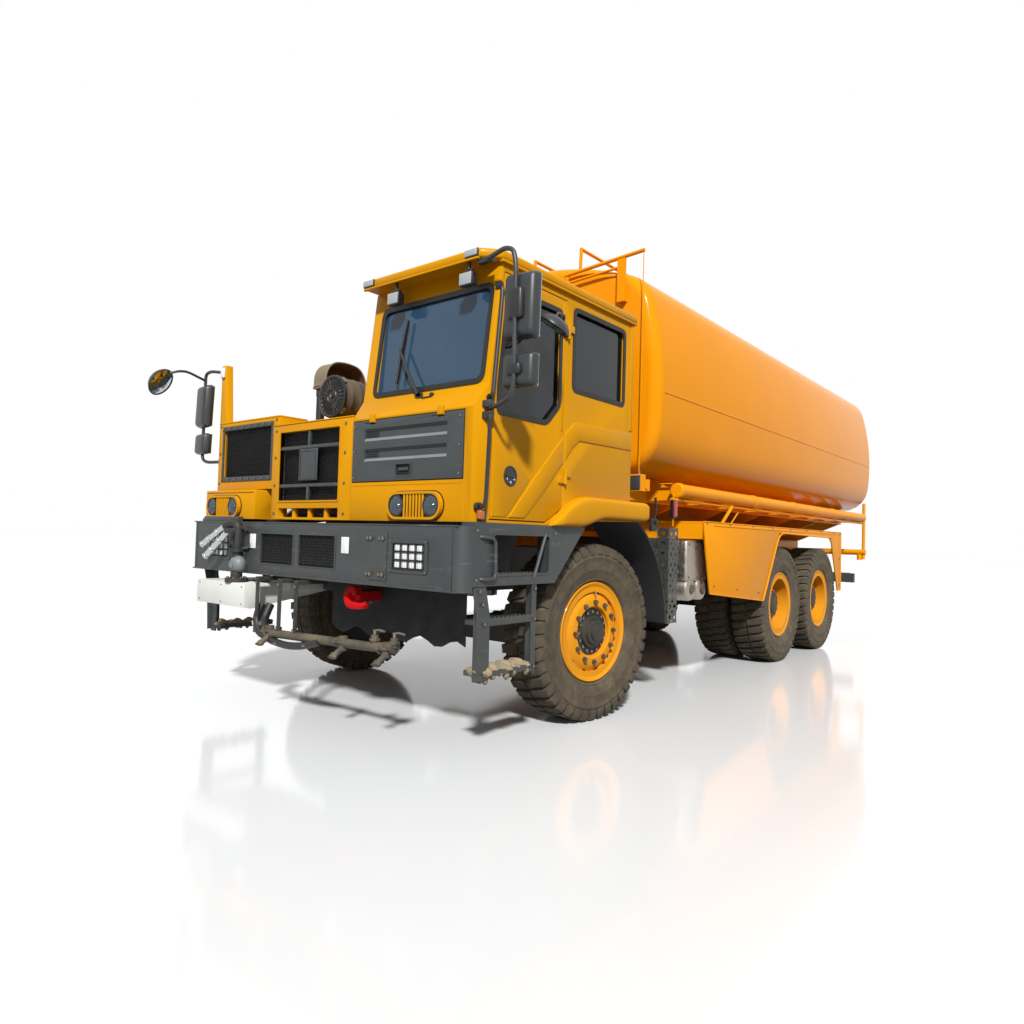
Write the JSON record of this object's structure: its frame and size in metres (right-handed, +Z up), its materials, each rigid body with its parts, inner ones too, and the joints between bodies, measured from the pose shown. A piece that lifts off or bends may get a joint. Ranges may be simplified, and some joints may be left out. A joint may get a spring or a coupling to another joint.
{
  "type": "off-road water tanker truck",
  "caption": "Wide-body three-axle off-road water tanker truck with an offset half-width cab, open nose grilles, spray bar, twin rear wheels and a long yellow tank.",
  "frame": {"origin": "middle of the overall length and width, on the ground the wheels stand on; the truck's centre line is x = 0", "axes": "-Y is the truck's front, +X its left side, +Z up"},
  "size_m": [3.9798, 10.2998, 4.3995],
  "materials": {
    "cab_yellow": "semi-gloss golden yellow paint, light dust",
    "tank_yellow": "glossy orange-yellow paint",
    "rim_yellow": "glossy yellow paint with road dust",
    "dusty_tyre": "rubber with dried mud dust",
    "dark_grey_paint": "satin dark grey paint",
    "chassis_black": "matt black chassis paint",
    "bare_steel": "bare sheet metal, dull",
    "galvanised": "dull grey perforated steel",
    "tinted_glass": "bluish tinted glass",
    "lamp_glass": "clear lamp glass",
    "seat_fabric": "black woven seat cloth",
    "black_plastic": "matt black plastic",
    "dusty_black": "black paint under brown dust",
    "worn_pipe": "worn grey steel pipe with dust",
    "hook_red": "red paint",
    "white_paint": "white paint"
  },
  "bodies": {
    "chassis": {"chassis_frame": "chassis_black", "engine_block": "chassis_black", "front_axle": "chassis_black", "suspension": "chassis_black", "rear_axles": "chassis_black", "front_bumper": "dark_grey_paint", "tow_hook": "hook_red", "cab_shell": "cab_yellow", "cab_roof": "cab_yellow", "cab_glass": "tinted_glass", "driver_seat": "seat_fabric", "steering_wheel": "black_plastic", "dashboard": "black_plastic", "middle_grille": "cab_yellow", "right_hood": "cab_yellow", "headlamps": "lamp_glass", "air_cleaner": "dusty_black", "mirrors": "black_plastic", "front_steps": "dark_grey_paint", "front_fenders": "cab_yellow", "side_guards": "galvanised", "silencer": "bare_steel", "fuel_tank": "bare_steel", "tank": "tank_yellow", "tank_cradle": "tank_yellow", "level_gauge": "tank_yellow", "tank_rails": "tank_yellow", "hose_tubes": "tank_yellow", "rear_fenders": "tank_yellow", "front_spray_bar": "worn_pipe", "valve_box": "white_paint", "rear_spray_bar": "tank_yellow", "rear_bumper": "dark_grey_paint"},
    "steering_knuckle_left": {"knuckle_left": "chassis_black"},
    "steering_knuckle_right": {"knuckle_right": "chassis_black"},
    "tie_rod": {"tie_rod": "chassis_black"},
    "wheel_front_left": {"tyre_front_left": "dusty_tyre", "rim_front_left": "rim_yellow"},
    "wheel_front_right": {"tyre_front_right": "dusty_tyre", "rim_front_right": "rim_yellow"},
    "twin_first_left": {"tyres_first_left": "dusty_tyre", "rims_first_left": "rim_yellow"},
    "twin_first_right": {"tyres_first_right": "dusty_tyre", "rims_first_right": "rim_yellow"},
    "twin_second_left": {"tyres_second_left": "dusty_tyre", "rims_second_left": "rim_yellow"},
    "twin_second_right": {"tyres_second_right": "dusty_tyre", "rims_second_right": "rim_yellow"},
    "door": {"cab_door": "cab_yellow", "door_glass": "tinted_glass"},
    "service_lid": {"service_panel": "dark_grey_paint"},
    "manhole_cover": {"manhole_lid": "tank_yellow"}
  },
  "joints": [
    {"name": "steer_left", "type": "hinge", "parent": "chassis", "child": "steering_knuckle_left", "pos_m": [1.01, -3.16, 0.6], "axis": [0, 0, 1], "range_deg": [-23.7, 36.3]},
    {"name": "steer_right", "type": "hinge", "parent": "chassis", "child": "steering_knuckle_right", "pos_m": [-1.01, -3.16, 0.6], "axis": [0, 0, 1], "range_deg": [-23.7, 36.3]},
    {"name": "tie_rod_pivot", "type": "hinge", "parent": "steering_knuckle_left", "child": "tie_rod", "pos_m": [1.04018, -2.88666, 0.45], "axis": [0, 0, 1], "range_deg": [-36.3, 23.7]},
    {"name": "spin_front_left", "type": "hinge", "parent": "steering_knuckle_left", "child": "wheel_front_left", "pos_m": [1.36981, -3.19972, 0.667], "axis": [0.994, -0.1097, 0], "continuous": true},
    {"name": "spin_front_right", "type": "hinge", "parent": "steering_knuckle_right", "child": "wheel_front_right", "pos_m": [-1.36981, -3.12028, 0.667], "axis": [0.994, -0.1097, 0], "continuous": true},
    {"name": "spin_first_left", "type": "hinge", "parent": "chassis", "child": "twin_first_left", "pos_m": [1.171, 0.784, 0.667], "axis": [1, 0, 0], "continuous": true},
    {"name": "spin_first_right", "type": "hinge", "parent": "chassis", "child": "twin_first_right", "pos_m": [-1.171, 0.784, 0.667], "axis": [1, 0, 0], "continuous": true},
    {"name": "spin_second_left", "type": "hinge", "parent": "chassis", "child": "twin_second_left", "pos_m": [1.171, 2.28, 0.667], "axis": [1, 0, 0], "continuous": true},
    {"name": "spin_second_right", "type": "hinge", "parent": "chassis", "child": "twin_second_right", "pos_m": [-1.171, 2.28, 0.667], "axis": [1, 0, 0], "continuous": true},
    {"name": "door_hinge", "type": "hinge", "parent": "chassis", "child": "door", "pos_m": [1.6, -3.752, 2.3], "axis": [0, 0, 1], "range_deg": [0, 80]},
    {"name": "service_panel_hinge", "type": "hinge", "parent": "chassis", "child": "service_lid", "pos_m": [0.92, -4.666, 2.136], "axis": [-1, 0, 0], "range_deg": [0, 75]},
    {"name": "manhole_hinge", "type": "hinge", "parent": "chassis", "child": "manhole_cover", "pos_m": [0, -0.11, 4.1], "axis": [1, 0, 0], "range_deg": [0, 100]}
  ],
  "couplings": [
    {"joint": "steer_right", "follows": "steer_left", "ratio": 1},
    {"joint": "tie_rod_pivot", "follows": "steer_left", "ratio": -1}
  ]
}
